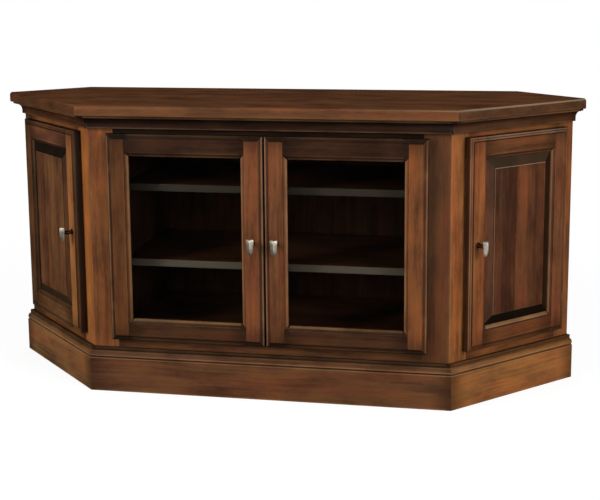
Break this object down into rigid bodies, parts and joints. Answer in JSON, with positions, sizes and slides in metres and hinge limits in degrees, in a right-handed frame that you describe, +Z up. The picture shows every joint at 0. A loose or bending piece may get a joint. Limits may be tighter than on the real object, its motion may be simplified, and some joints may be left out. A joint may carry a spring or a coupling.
{
  "type": "corner tv cabinet",
  "caption": "Corner television cabinet with glass doors across the front, panelled wooden doors on slanted sides, and shelves behind the glass; stands in a room's corner.",
  "frame": {"origin": "on the floor, in the middle of the cabinet's box", "axes": "+Z up, +Y towards the room's corner behind the cabinet, +X to the right as seen from the front"},
  "size_m": [1.599, 0.506, 0.762],
  "materials": {
    "stained_wood": "burnished brown maple stain with dark glaze, satin lacquer",
    "interior_wood": "dark stained veneered panel, satin",
    "tinted_glass": "grey tinted float glass",
    "pewter": "antique pewter plate, satin",
    "plated_steel": "nickel plated"
  },
  "bodies": {
    "case": {"back_panel": "interior_wood", "base_front": "stained_wood", "base_left": "stained_wood", "base_right": "stained_wood", "cove_front": "stained_wood", "cove_left": "stained_wood", "cove_right": "stained_wood", "floor_panel": "interior_wood", "front_rail_bottom": "stained_wood", "front_rail_top": "stained_wood", "front_stile_left": "stained_wood", "front_stile_right": "stained_wood", "hinge_arms": "plated_steel", "hinge_screws": "plated_steel", "left_far_stile": "stained_wood", "left_near_stile": "stained_wood", "left_rail_bottom": "stained_wood", "left_rail_top": "stained_wood", "partition_left": "interior_wood", "partition_right": "interior_wood", "right_far_stile": "stained_wood", "right_near_stile": "stained_wood", "right_rail_bottom": "stained_wood", "right_rail_top": "stained_wood", "shelf_lower": "interior_wood", "shelf_pins": "plated_steel", "shelf_upper": "interior_wood", "top_board": "stained_wood", "wall_panel_left": "interior_wood", "wall_panel_right": "interior_wood"},
    "left_glass_door": {"left_glass_door_bottom_rail": "stained_wood", "left_glass_door_glass": "tinted_glass", "left_glass_door_glass_beads": "stained_wood", "left_glass_door_hinge_cups": "plated_steel", "left_glass_door_hinge_stile": "stained_wood", "left_glass_door_knob": "pewter", "left_glass_door_knob_stile": "stained_wood", "left_glass_door_top_rail": "stained_wood"},
    "right_glass_door": {"right_glass_door_bottom_rail": "stained_wood", "right_glass_door_glass": "tinted_glass", "right_glass_door_glass_beads": "stained_wood", "right_glass_door_hinge_cups": "plated_steel", "right_glass_door_hinge_stile": "stained_wood", "right_glass_door_knob": "pewter", "right_glass_door_knob_stile": "stained_wood", "right_glass_door_top_rail": "stained_wood"},
    "left_side_door": {"left_side_door_bottom_rail": "stained_wood", "left_side_door_hinge_cups": "plated_steel", "left_side_door_hinge_stile": "stained_wood", "left_side_door_knob": "pewter", "left_side_door_knob_stile": "stained_wood", "left_side_door_raised_panel": "stained_wood", "left_side_door_top_rail": "stained_wood"},
    "right_side_door": {"right_side_door_bottom_rail": "stained_wood", "right_side_door_hinge_cups": "plated_steel", "right_side_door_hinge_stile": "stained_wood", "right_side_door_knob": "pewter", "right_side_door_knob_stile": "stained_wood", "right_side_door_raised_panel": "stained_wood", "right_side_door_top_rail": "stained_wood"}
  },
  "joints": [
    {"name": "left_glass_door_hinge", "type": "hinge", "parent": "case", "child": "left_glass_door", "pos_m": [-0.405, -0.20498, 0.415], "axis": [0, 0, -1], "range_deg": [0, 105]},
    {"name": "right_glass_door_hinge", "type": "hinge", "parent": "case", "child": "right_glass_door", "pos_m": [0.405, -0.20498, 0.415], "axis": [0, 0, 1], "range_deg": [0, 105]},
    {"name": "left_side_door_hinge", "type": "hinge", "parent": "case", "child": "left_side_door", "pos_m": [-0.74298, 0.06736, 0.415], "axis": [0, 0, -1], "range_deg": [0, 105]},
    {"name": "right_side_door_hinge", "type": "hinge", "parent": "case", "child": "right_side_door", "pos_m": [0.74298, 0.06736, 0.415], "axis": [0, 0, 1], "range_deg": [0, 105]}
  ]
}
